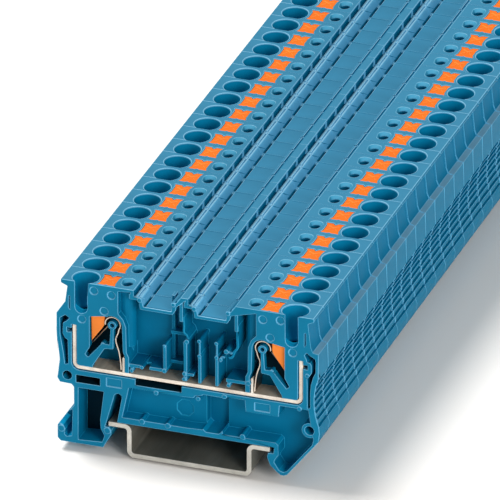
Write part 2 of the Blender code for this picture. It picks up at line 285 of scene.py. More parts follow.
def ribbon(path, thickness):
    """Closed outline of a strip that follows a path of points."""
    left, right = [], []
    for i, point in enumerate(path):
        here = Vector(point)
        before = (here - Vector(path[i - 1])).normalized() if i else None
        after = (Vector(path[i + 1]) - here).normalized() if i + 1 < len(path) else None
        before = before or after
        after = after or before
        mitre = (before + after).normalized()
        normal = Vector((-mitre.y, mitre.x)) / max(mitre.dot(after), 0.3)
        left.append(tuple(here + normal * thickness / 2))
        right.append(tuple(here - normal * thickness / 2))
    return left + right[::-1]


def rounded(points, radius, steps=5):
    """An open path with its inner corners rounded."""
    path = [points[0]]
    for before, corner, after in zip(points, points[1:], points[2:]):
        here = Vector(corner)
        back = (Vector(before) - here).normalized()
        ahead = (Vector(after) - here).normalized()
        half = back.angle(ahead) / 2
        reach = radius / math.tan(half)
        centre = here + (back + ahead).normalized() * radius / math.sin(half)
        first = here + back * reach - centre
        last = here + ahead * reach - centre
        turn = first.angle_signed(last)
        for i in range(steps + 1):
            spot = first.copy()
            spot.rotate(Matrix.Rotation(-turn * i / steps, 2))
            path.append(tuple(centre + spot))
    return path + [points[-1]]


def smooth_path(points, steps=4):
    """A Catmull-Rom curve through the points."""
    ends = [points[0]] + points + [points[-1]]
    path = []
    for p0, p1, p2, p3 in zip(ends, ends[1:], ends[2:], ends[3:]):
        for i in range(steps):
            t = i / steps
            spot = []
            for a, b, c, d in zip(p0, p1, p2, p3):
                spot.append(0.5 * (2 * b + (c - a) * t + (2 * a - 5 * b + 4 * c - d) * t * t
                                   + (3 * b - a - 3 * c + d) * t ** 3))
            path.append(tuple(spot))
    return path + [points[-1]]


# --- materials ------------------------------------------------------------------------------
def new_material(name):
    """A material, its node tree and its shader."""
    material = bpy.data.materials.new(name)
    material.use_nodes = True
    tree = material.node_tree
    return material, tree, tree.nodes["Principled BSDF"]


def node(tree, kind, inputs=None, **settings):
    """A shader node with some of its inputs and settings filled in."""
    made = tree.nodes.new(kind)
    for name, value in settings.items():
        setattr(made, name, value)
    for name, value in (inputs or {}).items():
        made.inputs[name].default_value = value
    return made


def noise(tree, vector, scale, detail, roughness=0.5):
    """Fractal noise from 0 to 1."""
    made = node(tree, "ShaderNodeTexNoise",
                {"Scale": scale, "Detail": detail, "Roughness": roughness})
    tree.links.new(vector, made.inputs["Vector"])
    return made.outputs["Fac"]


def ramp(tree, factor, dark, light, start):
    """From dark to light, as factor goes from start to 1 - start."""
    shade = node(tree, "ShaderNodeValToRGB")
    low, high = shade.color_ramp.elements
    low.position, low.color = start, (*dark, 1.0)
    high.position, high.color = 1.0 - start, (*light, 1.0)
    tree.links.new(factor, shade.inputs["Fac"])
    return shade.outputs["Color"]


def clouded(tree, factor, colour):
    """A colour that wanders a little lighter and darker."""
    dark = [c * (1 - CLOUDINESS) for c in colour]
    light = [min(c * (1 + CLOUDINESS), 1.0) for c in colour]
    return ramp(tree, factor, dark, light, 0.3)


def roughen(tree, shader, factor, low, high):
    """A roughness that wanders from low to high."""
    rough = node(tree, "ShaderNodeMapRange", {"To Min": low, "To Max": high})
    tree.links.new(factor, rough.inputs["Value"])
    tree.links.new(rough.outputs["Result"], shader.inputs["Roughness"])


def relief(tree, shader, factor, strength, depth):
    """Fine bumps, depth millimetres deep."""
    bump = node(tree, "ShaderNodeBump", {"Strength": strength, "Distance": depth * MM})
    tree.links.new(factor, bump.inputs["Height"])
    tree.links.new(bump.outputs["Normal"], shader.inputs["Normal"])


def plastic(name, colour, roughness, specular, painted_level_tint=None):
    """Moulded plastic: cloudy colour, fine grain and a roughness that wanders a little.

    With a fifth colour given, level faces take that colour instead: painted light for how the
    light from above falls there, a painted sheen on the blues and darker on the orange.
    """
    material, tree, shader = new_material(name)
    shader.inputs["IOR"].default_value = 1.5
    shader.inputs["Specular IOR Level"].default_value = specular
    where = node(tree, "ShaderNodeTexCoord").outputs["Object"]
    cloud = noise(tree, where, CLOUD, 5.0)
    tint = clouded(tree, cloud, colour)
    # level faces blend to the painted top colour: painted sheen or painted shade from the light
    # above
    if painted_level_tint:
        level = node(tree, "ShaderNodeSeparateXYZ")
        facing = node(tree, "ShaderNodeNewGeometry").outputs["Normal"]
        tree.links.new(facing, level.inputs["Vector"])
        upward = node(tree, "ShaderNodeMapRange", {"From Min": 0.55, "From Max": 0.95})
        tree.links.new(level.outputs["Z"], upward.inputs["Value"])
        blend = node(tree, "ShaderNodeMix", data_type="RGBA")
        tree.links.new(upward.outputs["Result"], blend.inputs["Factor"])
        tree.links.new(tint, blend.inputs[MIX_A])
        tree.links.new(clouded(tree, cloud, painted_level_tint), blend.inputs[MIX_B])
        tint = blend.outputs[MIX_RESULT]
    tree.links.new(tint, shader.inputs["Base Color"])
    roughen(tree, shader, noise(tree, where, MOTTLE, 3.0), roughness - 0.07, roughness + 0.07)
    relief(tree, shader, noise(tree, where, FINE, 2.0), 0.25, GRAIN)
    return material


def metal(name, dark, light, roughness, stretch, scratch=0.02, metallic=1.0):
    """Plated or rolled metal: streaks along one direction, mottled tint and fine scratches."""
    material, tree, shader = new_material(name)
    shader.inputs["Metallic"].default_value = metallic
    along = node(tree, "ShaderNodeMapping", {"Scale": stretch})
    tree.links.new(node(tree, "ShaderNodeTexCoord").outputs["Object"], along.inputs["Vector"])
    streak = noise(tree, along.outputs["Vector"], STREAKS, 8.0, 0.62)
    tree.links.new(ramp(tree, streak, dark, light, 0.32), shader.inputs["Base Color"])
    roughen(tree, shader, streak, roughness - 0.1, roughness + 0.14)
    relief(tree, shader, streak, 0.4, scratch)
    return material


# the blue's fifth colour is a painted sheen on its level faces
blue = plastic("blue_plastic", (0.0015, 0.166, 0.305), 0.5, 0.08, (0.036, 0.195, 0.32))
# painted highlight: a lighter blue for rounded edges, bright ledges and the wire entries' mouths
blue_highlight = plastic("blue_plastic_painted_highlight", (0.10, 0.38, 0.60), 0.42, 0.2, (0.19, 0.42, 0.57))
# painted highlight: a brighter blue for the test holes' sloping mouths
mouth_highlight_blue = plastic("blue_plastic_mouth_painted_highlight", (0.04, 0.29, 0.46), 0.4, 0.3, (0.09, 0.32, 0.47))
# painted light: a lighter blue for walls in the wire entries and for floors low in the recesses
lit_blue = plastic("blue_plastic_painted_light", (0.001, 0.22, 0.40), 0.5, 0.04)
# painted shade: a darker blue for pockets, grooves and undercuts, with a lighter copy as painted
# highlight on their edges
shaded_blue = plastic("blue_plastic_painted_shade", (0.0004, 0.15, 0.29), 0.5, 0.04)
shaded_blue_highlight = plastic("blue_plastic_painted_shade_highlight", (0.01, 0.27, 0.46), 0.45, 0.12)
# painted shadow: a near-black blue for narrow slots and gaps
shadow_blue = plastic("blue_plastic_painted_shadow", (0.0005, 0.018, 0.032), 0.6, 0.04)
# painted light and shade: a darker top colour on the orange's level faces, and a lighter orange as
# painted highlight on rounded edges
orange = plastic("orange_plastic", (0.84, 0.225, 0.034), 0.5, 0.12, (0.82, 0.148, 0.010))
orange_highlight = plastic("orange_plastic_painted_highlight", (0.98, 0.30, 0.06), 0.45, 0.2, (0.92, 0.23, 0.03))
tinned = metal("tinned_copper", (0.34, 0.28, 0.21), (0.74, 0.64, 0.50), 0.45, (1.0, 0.25, 1.0),
               metallic=0.2)
# painted highlight: lighter copies of the metals for rounded edges and for faces that face front
# or back
tinned_highlight = metal("tinned_copper_painted_highlight", (0.58, 0.50, 0.42), (0.93, 0.86, 0.76), 0.5, EVEN,
                    0.01, 0.15)
steel = metal("spring_steel", (0.30, 0.22, 0.16), (0.62, 0.50, 0.40), 0.32, (1.0, 0.4, 1.0))
steel_highlight = metal("spring_steel_painted_highlight", (0.48, 0.40, 0.33), (0.80, 0.69, 0.58), 0.42, EVEN,
                   0.01, 0.3)
# painted shade: the spring's own steel, darker, for the leg
shaded_steel = metal("spring_steel_painted_shade", (0.13, 0.09, 0.065), (0.30, 0.22, 0.17), 0.38,
                 (1.0, 0.4, 1.0))
zinc = metal("zinc_plated_steel", (0.13, 0.126, 0.103), (0.23, 0.222, 0.185), 0.4,
             (1.0, 0.12, 1.0), metallic=0.4)
zinc_highlight = metal("zinc_plated_painted_highlight", (0.41, 0.40, 0.355), (0.61, 0.60, 0.545), 0.45, EVEN,
                  metallic=0.25)
BLUE = (blue, blue_highlight)
SHADED_BLUE = (shaded_blue, shaded_blue_highlight)
ORANGE = (orange, orange_highlight)


# --- outlines of a housing ------------------------------------------------------------------
def channel(start, closed):
    """One bridge channel, left to right; the closed back wall fills its undercuts."""
    if closed:
        steps = [(-0.02, TOP), (0.0, 37.15), (1.35, 37.05), (1.8, 36.3), (2.05, 35.15),
                 (8.15, 35.1), (8.3, 36.9), (9.15, 37.15), (10.0, 38.3), (10.15, TOP)]
    else:
        steps = [(-0.02, TOP), (-0.02, 38.25), (-0.5, 37.95), (-0.5, 37.0), (0.15, 37.0),
                 (0.2, 37.15), (0.8, 37.12), (0.85, 36.85), (1.05, 36.85), (1.1, 37.08),
                 (1.35, 37.04), (1.75, 36.3), (2.0, 35.3), (2.0, 34.45), (2.42, 34.45),
                 (2.45, 35.1), (8.0, 35.08), (8.25, 35.4), (8.25, 36.1), (8.0, 36.3),
                 (8.05, 36.9), (8.65, 37.15), (8.85, 36.75), (9.1, 36.75), (9.3, 37.6),
                 (10.0, 38.3), (10.15, TOP)]
    return shifted(steps, start)


def channel_ribs():
    """The wall at each module's back is thicker where it crosses the ledges of the channels."""
    ribs = []
    for start in CHANNEL_STARTS:
        ledge = [point for point in channel(start, True) if point[0] < start + 1.9]
        foot = [(start + 2.1, 35.15), (start + 2.46, 35.08), (start + 2.46, 34.2),
                (start - 0.9, 34.2)]
        ribs.append(prism([(start - 0.9, TOP)] + ledge + foot, CHANNEL_RIB, FLANGE + 0.1))
    return ribs


# height and X of the grooved flanks, from the bottom up
RIGHT_EDGE = [(10.5, 28.0), (12.4, 28.25), (14.0, 28.1), (15.3, 27.67), (16.6, 27.35),
              (17.9, 27.16), (19.4, 27.08), (20.8, 27.1), (22.1, 27.27), (23.5, 27.54),
              (24.85, 28.0), (27.0, 28.0)]
LEFT_EDGE = [(15.9, -28.6), (20.0, -28.05), (25.9, -28.7), (30.7, -28.7)]


def edge_at(edge, z):
    """X of a flank at a height."""
    for (z0, x0), (z1, x1) in zip(edge, edge[1:]):
        if z <= z1:
            break
    return x0 + (x1 - x0) * (z - z0) / (z1 - z0)


def louvres(edge, top, pitch, count, cut):
    """Ribs down a flank; cut is how far the grooves go in, towards the module's middle.

    The grooves are tall at the top of the flank and narrow towards its foot.
    """
    points = []
    for i in range(count):
        z = top - i * pitch
        groove = pitch * (0.5 - 0.25 * i / count)
        low = z - pitch + groove
        points += [(edge_at(edge, z), z), (edge_at(edge, low) + cut * 0.25, low),
                   (edge_at(edge, low) + cut, low - 0.06),
                   (edge_at(edge, z - pitch) + cut, z - pitch + 0.1)]
    return points


def housing_outline(closed):
    """The module's whole side view, clockwise from the left lip."""
    top = [(-27.7, TOP)] + channel(CHANNEL_STARTS[0], closed) + channel(CHANNEL_STARTS[1], closed)
    if closed:
        panel = [(26.9, TOP), (27.0, 37.8), (25.75, 37.2), (26.35, 32.0), (26.8, 30.85),
                 (28.0, 30.6)]
        cut = 0.3
    else:
        panel = [(26.9, TOP), (27.0, 37.9), (25.45, 37.25), (26.1, 31.9), (26.6, 30.65),
                 (27.9, 30.5)]
        cut = 0.85
    right_side = panel + [(27.95, 26.5)] + louvres(RIGHT_EDGE, 24.85, 1.37, 8, -cut)
    right_side += [(28.1, 13.85), (27.85, 13.6), (28.25, 12.4), (28.0, 10.5)]
    right_foot = arc((20.3, 2.95), 1.45, -25, -140, 4) + [
        (17.6, 3.4), (16.9, 5.2), (17.1, 6.2), (18.3, 6.25), (18.4, SEAT)]
    latch_gap = [(-15.6, SEAT), (-14.6, 13.2)] + arc((-15.4, 13.4), 0.85, 20, 160, 5) + [
        (-18.0, 7.0), (-18.3, 6.2)]
    left_foot = [(-17.4, 6.2), (-16.9, 5.5), (-16.9, 4.6), (-18.7, 1.3), (-27.9, 1.3),
                 (-28.6, 2.0), (-28.6, 4.9), (-25.0, 9.9), (-25.0, 14.2)]
    teeth = louvres(LEFT_EDGE, 26.3, 1.4, 7, 0.2 if closed else 0.55)[::-1]
    left_side = [(-25.5, 14.8), (-28.0, 14.9), (-28.6, 15.9)] + teeth + [
        (-28.7, 26.8), (-28.7, 30.7), (-26.8, 33.6), (-26.3, 37.2), (-27.7, 37.8)]
    return top + right_side + right_foot + latch_gap + left_foot + left_side


def smooth_outline():
    """Side view of the first module's front edge, with no ribs down its flanks."""
    outline = []
    for x, z in housing_outline(True):
        if 13.5 < z < 24.9 and x > 25.0:
            x = edge_at(RIGHT_EDGE, z) - 0.02
        elif 16.2 < z < 26.5 and x < -26.0:
            x = edge_at(LEFT_EDGE, z) + 0.02
        outline.append((x, z))
    return outline


def lower_recess_left():
    return [(-13.0, 16.05), (-14.5, 8.95), (-0.2, 8.95), (2.95, 9.1), (2.95, 16.9),
            (1.4, 16.7), (1.0, 16.1), (-0.9, 16.0)]


def lower_trough():
    return [(2.9, 9.4), (3.6, 8.7), (6.4, 8.7), (7.3, 9.6), (7.3, 17.2), (2.9, 17.2)]


def lower_recess_right():
    return [(7.25, 8.75), (18.7, 8.8), (19.3, 8.3), (19.35, 6.0), (18.6, 4.9), (18.4, 4.3),
            (19.5, 2.6), (20.4, 2.3), (21.2, 2.7), (26.6, 9.6), (26.9, 10.8), (26.2, 14.8),
            (25.8, 17.5), (19.6, 17.5), (19.4, 14.9), (12.3, 14.9), (12.1, 17.5), (7.25, 17.5)]


def foot_pocket():
    return [(-24.0, 14.2), (-18.5, 14.2), (-19.3, 7.6), (-19.2, 5.6), (-18.4, 4.0),
            (-18.9, 2.5), (-24.1, 2.2)]


def toe_pocket():
    return [(-25.3, 9.0), (-26.2, 8.4), (-28.3, 5.4), (-27.4, 5.1), (-26.9, 4.2), (-27.1, 3.0),
            (-26.6, 2.5), (-25.5, 2.8)]


def left_edge_slot():
    return [(-27.95, 29.6), (-26.8, 30.5), (-25.9, 29.9), (-26.5, 29.2), (-27.3, 28.6),
            (-27.4, 26.2), (-26.9, 25.2), (-26.3, 24.8), (-26.2, 19.4), (-26.9, 19.2),
            (-27.25, 22.0), (-27.9, 25.8)]


def right_edge_slot():
    return [(24.95, 29.95), (25.45, 30.55), (26.2, 29.95), (27.15, 29.5), (27.35, 28.8),
            (27.35, 26.3), (26.82, 25.2), (26.33, 23.4), (26.17, 21.4), (26.17, 18.0),
            (25.64, 17.9), (25.6, 23.3), (25.55, 24.8), (26.1, 25.35), (26.5, 26.1),
            (26.5, 27.85), (26.2, 28.35), (25.55, 28.45), (25.4, 29.1)]


def over_loop():
    """The chamber's roof, round the top of the spring's loop."""
    return arc((MID + PEG[0], PEG[1]), 2.15, 125, 0, 8)


def chamber_window():
    """The left spring chamber's opening, round the two stops beside the spring's leg."""
    right_edge = [(-14.3, 24.0), (-13.9, 23.0), (-13.9, 19.0)]
    stop_below = [(-20.9, 19.0), (-20.9, 19.8), (-18.3, 24.1), (-16.4, 24.3)]
    round_peg = arc((MID + PEG[0], PEG[1]), PEG_RADIUS, -70, 250, 12)
    stop_above = [(-17.2, 25.2), (-18.8, 25.3), (-21.9, 21.6), (-22.5, 22.2), (-21.5, 24.0)]
    return ([(-21.5, 31.0), (-18.5, 31.5)] + over_loop() + right_edge + stop_below + round_peg
            + stop_above)


def chamber_deep():
    """The left spring chamber behind its opening."""
    below = [(-14.3, 24.0), (-13.9, 23.0), (-13.9, 19.0), (-24.2, 19.0), (-24.2, 30.9)]
    return over_loop() + below + [(-21.7, 30.9), (-21.7, 31.3)]


def button_well():
    """The room for the first module's left button, under its head."""
    middle = MID - BUTTON_AT
    half = 2.05
    return [(middle - half, 36.2), (middle + half, 36.2), (middle + half, 32.0), (-18.3, 31.0),
            (-18.4, 29.0), (-21.6, 27.0), (-21.6, 31.3), (middle - half, 31.9)]


def centre_cavity():
    """The open middle; its roof follows the undersides of the two channels."""
    roof = []
    for start in CHANNEL_STARTS:
        roof += shifted([(-0.65, 38.0), (-1.0, 37.4), (-1.0, 36.5), (0.85, 36.4), (1.15, 35.8),
                         (1.35, 34.45), (8.4, 34.4), (9.1, 35.5), (9.15, 36.2)], start)
    left_wall = [(-13.0, 19.0), (-13.0, 22.9), (-13.5, 24.0), (-13.6, 29.7), (-14.2, 31.4),
                 (-15.3, 32.6), (-15.3, 37.7)]
    return left_wall + roof + mirrored(left_wall)


def bar_path(steps):
    """Middle line of the current bar, bent up at both ends."""
    left, right = MID - BAR_END, MID + BAR_END
    return rounded([(left, BAR_TOP), (left, BAR_Z), (right, BAR_Z), (right, BAR_TOP)], 1.1, steps)


def bar_groove():
    """A little room all round the current bar."""
    path = bar_path(4)
    for end in (0, -1):
        path[end] = (path[end][0], BAR_TOP + 0.15)
    return ribbon(path, BAR_THICKNESS + 0.3)


# --- housings -------------------------------------------------------------------------------
def top_cutters():
    """Wire entries, cut from above."""
    profile = [(1.3, 28.5), (1.3, 30.6), (1.35, 31.7), (FUNNEL_RADIUS - 0.15, 33.6),
               (FUNNEL_RADIUS - 0.03, TOP - 0.15), (FUNNEL_RADIUS + 0.08, TOP),
               (FUNNEL_RADIUS + 0.08, ABOVE)]
    return [turned(MID + side * FUNNEL_AT, FUNNEL_Y, profile, 32) for side in SIDES]


def test_cutters():
    """Round test holes with a longer, sloping mouth."""
    tools = []
    bore, mouth = (3.3, 1.06), (2.45, 1.2)      # Y and radius
    rear = (3.55, 1.42)                         # the same for the mouth's rear half
    for side in SIDES:
        x = MID + side * TEST_AT
        tools.append(stack([ring(x, *bore, 25.5, 24), ring(x, *bore, TOP - 0.65, 24),
                            ring(x, *mouth, TOP + 0.02, 24, rear),
                            ring(x, *mouth, ABOVE, 24, rear)]))
    return tools


def well_cutters(low):
    """Button wells that follow the waisted heads, down to the height low."""
    tools = []
    for side in SIDES:
        x = MID + side * BUTTON_AT
        tools.append(upright([(x + u, v) for u, v in button_head(WELL_GAP)], low, ABOVE))
    return tools


def floor_step(edge):
    """The step in a channel's floor, where the back wall starts, is too slight to be rounded."""
    ends = [vert.co for vert in edge.verts]
    on_floor = all(CHANNEL_FLOOR[0] < end.z < CHANNEL_FLOOR[1]
                   and TOP_SPAN[0] < end.x < TOP_SPAN[1] for end in ends)
    return 0.0 if on_floor and all(abs(end.y - FLANGE) < 0.01 for end in ends) else 1.0


def top_seam(edge):
    """The seams between modules are fine where they cross the top, and show on the flanks."""
    ends = [vert.co for vert in edge.verts]
    at_seam = all(end.y < 0.01 for end in ends) or all(end.y > DEPTH - 0.01 for end in ends)
    on_top = all(end.z > CHANNEL_FLOOR[0] and TOP_SPAN[0] < end.x < TOP_SPAN[1] for end in ends)
    if at_seam and on_top:
        return 0.1 if all(end.z < CHANNEL_FLOOR[1] for end in ends) else 0.22
    return floor_step(edge)


def finish_details(housing):
    """Painted light and shade: painted highlights on the holes' mouths and the ledges, lighter
    blue as painted light inside the wire entries, darker blue as painted shade in the grooves.
    """
    mouth = len(housing.data.materials)
    entry, painted_shade_index = mouth + 1, mouth + 2
    for material in (mouth_highlight_blue, lit_blue, shaded_blue):
        housing.data.materials.append(material)
    for face in housing.data.polygons:
        spot, away = face.center, face.normal
        if spot.y < 0.03:
            continue
        reach = abs(spot.x - MID)
        from_entry = math.hypot(reach - FUNNEL_AT, spot.y - FUNNEL_Y)
        # sloping mouths of the holes in the top: painted highlight
        if 0.15 < away.z < 0.97 and TOP - 0.68 < spot.z < TOP - 0.01:
            if abs(reach - TEST_AT) < 1.6:
                face.material_index = mouth
            elif from_entry < 3.2:
                face.material_index = HIGHLIGHT
        # walls inside a wire entry: painted light
        elif from_entry < FUNNEL_RADIUS + 0.1 and 30.0 < spot.z < TOP - 0.15 and spot.y > 0.3:
            face.material_index = entry
        # the right flank's ledge: painted highlight; the panel over it: painted shade
        elif spot.x > 26.0 and 30.4 < spot.z < 31.0 and away.z > 0.7:
            face.material_index = HIGHLIGHT
        elif spot.x > 24.0 and 31.0 < spot.z < 37.6 and away.x > 0.8:
            face.material_index = painted_shade_index
        # upper sides of the flanks' ribs: painted shade
        elif abs(spot.x) > 24.9 and 13.5 < spot.z < 26.0 and away.z > 0.5:
            face.material_index = painted_shade_index
        # each channel: painted shade on its undercut, painted highlight on its ledge and upper
        # wall
        for start in CHANNEL_STARTS:
            if (start - 0.6 < spot.x < start + 0.19 and 36.9 < spot.z < 38.2
                    and spot.y < CHANNEL_RIB):
                face.material_index = painted_shade_index
            elif start + 0.19 < spot.x < start + 2.06 and 35.2 < spot.z < 37.3:
                face.material_index = HIGHLIGHT
            elif abs(spot.x - start) < 0.1 and 37.1 < spot.z < 38.5 and away.x > 0.7:
                face.material_index = HIGHLIGHT


def make_bank_housing():
    """A module behind the first. Its inside is closed off by its neighbours."""
    housing = prism(housing_outline(False), 0.0, FLANGE, "bank_housing")
    combine(housing, [prism(housing_outline(True), FLANGE, DEPTH)] + channel_ribs(), "UNION")
    combine(housing, top_cutters() + test_cutters() + well_cutters(low=30.6), "DIFFERENCE")
    soften(housing, SOFT, BLUE, seam=top_seam)
    finish_details(housing)
    return scaled(housing)


def beads():
    """Round ends of ribs that stand in the first module's cavities: x, z, radius."""
    return [(-10.65, 36.55, 0.5), (1.15, 36.55, 0.5), (-3.35, 36.75, 0.45), (8.45, 36.75, 0.45),
            (-10.2, 21.2, 0.42), (-5.3, 21.2, 0.48), (-5.3, 27.0, 0.3), (-0.45, 28.75, 0.5),
            (-1.0, 21.3, 0.45), (2.25, 29.3, 0.42), (2.3, 25.9, 0.42), (5.95, 29.4, 0.4),
            (6.0, 26.2, 0.42), (8.1, 27.9, 0.52), (6.9, 25.9, 0.4), (12.9, 21.5, 0.5),
            (8.6, 20.3, 0.42), (-12.4, 20.1, 0.42), (-1.05, 20.1, 0.42), (-7.1, 15.85, 0.5),
            (2.0, 16.1, 0.5), (7.7, 17.55, 0.5), (23.88, 17.5, 0.5)]


def plates():
    """Ribs and walls in the open middle: outline and front. All reach the back wall."""
    straight = [(-5.65, 21.0, -4.95, 27.1), (-1.25, 19.6, -0.45, 28.6), (1.95, 19.6, 2.6, 25.9),
                (2.1, 25.5, 2.45, 29.3), (5.65, 19.6, 6.3, 26.2), (5.8, 26.0, 6.15, 29.4),
                (-13.3, 20.85, -10.2, 21.55), (-8.6, 20.85, -5.2, 21.55),
                (8.0, 20.95, 12.9, 21.7), (-1.2, 20.9, 1.0, 21.5), (-12.75, 19.9, -12.05, 21.2),
                (8.25, 20.1, 8.95, 21.2), (-2.05, 33.1, -1.35, 37.9), (9.85, 32.8, 10.55, 37.9)]
    leaf = [(-1.35, 34.0), (-1.2, 32.0), (-1.25, 30.6), (-0.6, 29.9), (-0.35, 28.9)]
    hook = [(10.35, 34.0), (10.3, 31.0), (10.35, 28.9), (9.7, 28.0), (9.2, 26.6), (8.5, 26.3)]
    curl = [(6.75, 25.2), (6.9, 26.3), (7.7, 26.4)]
    curved = [(ribbon(smooth_path(leaf, 3), 0.42), 0.5), (ribbon(smooth_path(hook, 3), 0.5), 0.5),
              (ribbon([(8.1, 27.9), (9.3, 27.6)], 0.4), 0.2),
              (ribbon(smooth_path(curl, 3), 0.4), 0.2)]
    bridges = [(block(-4.9, 28.5, -1.3, 29.2), 3.0), (block(-4.9, 22.0, -1.3, 22.7), 2.6),
               (block(-4.9, 22.0, -4.2, 37.0), 3.6), (block(-13.3, 21.0, -5.0, 21.5), 2.2),
               (block(8.0, 20.95, 12.9, 21.6), 1.0)]
    under_test_tube = [(block(-15.0, 22.6, -13.0, 24.4), 3.2)]
    return [(block(*corners), 0.15) for corners in straight] + curved + bridges + under_test_tube


def marks():
    """Shallow ejector-pin rings on the front face, and moulded marks on the recess floors."""
    tools = []
    for x, z in ((-20.55, 37.0), (-16.75, 36.6), (-18.35, 32.7), (-23.2, 30.1)):
        for at in (x, across(x)):
            tools.append(prism(circle(at, z, 0.88, 20), OPEN_SIDE, MARK_DEPTH))
    tools.append(prism(arc((-1.8, 11.9), 1.95, 22.5, 337.5, 7), 2.6, RECESS_DEPTH + MARK_DEPTH))
    tools.append(prism(block(-17.9, 15.6, -14.6, 17.5), OPEN_SIDE, MARK_DEPTH))
    tools.append(prism(block(14.2, 15.5, 17.5, 17.3), OPEN_SIDE, MARK_DEPTH))
    return tools


def inside(x, z, outline):
    """Whether a point is inside a closed outline."""
    crossings = 0
    for (x0, z0), (x1, z1) in zip(outline, outline[1:] + outline[:1]):
        if (z0 > z) != (z1 > z) and x < x0 + (x1 - x0) * (z - z0) / (z1 - z0):
            crossings += 1
    return crossings % 2 == 1


def shadow_plates():
    """Thin plates at the back of the gap beside each peg, where no light gets in; they are
    coloured near black as a painted shadow.
    """
    left = [(-24.1, 30.8), (-15.0, 30.8), (-15.0, 22.0), (-18.2, 22.0), (-20.6, 22.7),
            (-23.5, 19.3), (-24.1, 19.8)]
    right = [(13.5, 30.8), (13.5, 22.2), (16.2, 22.9), (19.4, 19.3), (23.3, 19.3), (23.3, 30.8)]
    return [prism(outline, CAVITY_DEPTH - 0.15, CAVITY_DEPTH + 0.2) for outline in (left, right)]


def narrow_slots():
    """Deep, narrow openings beside and under the current bar: outline and depth."""
    return [(block(-24.5, 15.4, -19.3, 17.1), 5.4), (block(-11.6, 16.9, -1.6, 18.4), 5.4),
            (circle(-26.4, 16.7, 1.0, 18), 5.2)]


def shade_pockets(housing):
    """Painted shade in the open side's pockets: darker copies of the plastic, near-black painted
    shadow in the narrow ones, and painted light on the floors low in the recesses.
    """
    pockets = [centre_cavity(), lower_recess_left(), lower_trough(), lower_recess_right(),
               foot_pocket(), toe_pocket(), left_edge_slot(), right_edge_slot(), bar_groove(),
               chamber_deep(), mirrored(chamber_deep()), chamber_window(),
               mirrored(chamber_window())]
    slots = [outline for outline, _ in narrow_slots()]
    deep = len(housing.data.materials)
    dark, lit = deep + 2, deep + 3
    for material in (*SHADED_BLUE, shadow_blue, lit_blue):
        housing.data.materials.append(material)
    for face in housing.data.polygons:
        if face.material_index > HIGHLIGHT:
            continue
        spot = face.center + face.normal * 0.06
        faces_front = face.normal.y < -0.9
        in_gap = faces_front and abs(face.center.y - CAVITY_DEPTH + 0.15) < 0.03
        in_slot = spot.y > 0.35 and any(inside(spot.x, spot.z, slot) for slot in slots)
        in_foot = faces_front and spot.y > 5.0 and inside(spot.x, spot.z, foot_pocket())
        # painted shadow in the gaps, the narrow slots and at the back of the foot pocket
        if in_gap or in_slot or in_foot:
            face.material_index = dark
        elif (spot.y > 0.35 and spot.z < 37.9
              and any(inside(spot.x, spot.z, pocket) for pocket in pockets)):
            # painted light on low recess floors, painted shade elsewhere in the pockets
            on_floor = face.normal.z > 0.7 and spot.z < 15.0
            face.material_index = lit if on_floor else face.material_index + deep


def pocket_cutters():
    """Pockets and slots of the open side."""
    rows = [(bar_groove(), GROOVE_DEPTH), (centre_cavity(), CAVITY_DEPTH),
            (lower_recess_left(), RECESS_DEPTH), (lower_trough(), CAVITY_DEPTH),
            (lower_recess_right(), 3.9), (foot_pocket(), 5.4), (toe_pocket(), 4.6),
            (left_edge_slot(), 5.2), (right_edge_slot(), 5.2)]
    return [prism(outline, OPEN_SIDE, depth) for outline, depth in rows + narrow_slots()]


def chamber_cutters():
    """Spring chambers, which are wider behind their openings, and the room for the buttons."""
    tools = []
    for outline, front, back in ((chamber_window(), OPEN_SIDE, FACE_DEPTH + 0.1),
                                 (chamber_deep(), FACE_DEPTH, CAVITY_DEPTH),
                                 (button_well(), WELL[0] - 0.02, WELL[1] + 0.02)):
        tools += [prism(outline, front, back), prism(mirrored(outline), front, back)]
    return tools


def entry_slots():
    """Round-bottomed slots in the open side, in front of the wire entries."""
    tools = []
    half = 1.36
    for side in SIDES:
        middle = MID + side * FUNNEL_AT - (0.25 if side < 0 else 0.05)
        top = [(middle - half, ABOVE), (middle + half, ABOVE)]
        tools.append(prism(top + arc((middle, 32.75), half, 0, -180, 8), OPEN_SIDE, 0.8))
    return tools


def pocket_fillings():
    """Everything that stands in the pockets."""
    tools = []
    for side in SIDES:
        tools.append(prism(circle(MID - side * PEG[0], PEG[1], PEG_RADIUS - 0.04, 20),
                           FACE_DEPTH - 0.3, RIB_BACK))
    tools += [prism(circle(x, z, radius, 12), BEAD_FRONT, RIB_BACK) for x, z, radius in beads()]
    tools += [prism(outline, front, RIB_BACK) for outline, front in plates()]
    clip = [(-27.0, 28.6), (-26.2, 29.0), (-25.4, 28.7), (-25.4, 25.6), (-26.1, 25.0),
            (-26.9, 25.4), (-27.2, 26.4)]
    studs = [(circle(*BOSS, 1.7, 24), 0.05, CAVITY_DEPTH),
             (circle(-10.2, 8.75, 0.6), BEAD_FRONT, 3.8),
             (circle(-4.6, 8.75, 0.6), BEAD_FRONT, 3.8),
             (circle(11.6, 8.95, 0.6), BEAD_FRONT, 4.2),
             (circle(-27.75, 4.25, 0.72, 16), BEAD_FRONT, 5.0),
             (circle(-17.75, 5.35, 0.7, 16), BEAD_FRONT, 4.6), (clip, 0.05, 5.3),
             (circle(25.55, 25.35, 0.45), BEAD_FRONT, 5.3)]
    # round ends of the stops beside the springs' legs
    for x, z in ((-19.15, 24.35), (-18.7, 25.1), (across(-19.15), 24.35), (across(-18.7), 25.1)):
        studs.append((circle(x, z, 0.42, 12), 0.02, FACE_DEPTH))
    tools += [prism(outline, front, back) for outline, front, back in studs]
    return tools + shadow_plates()


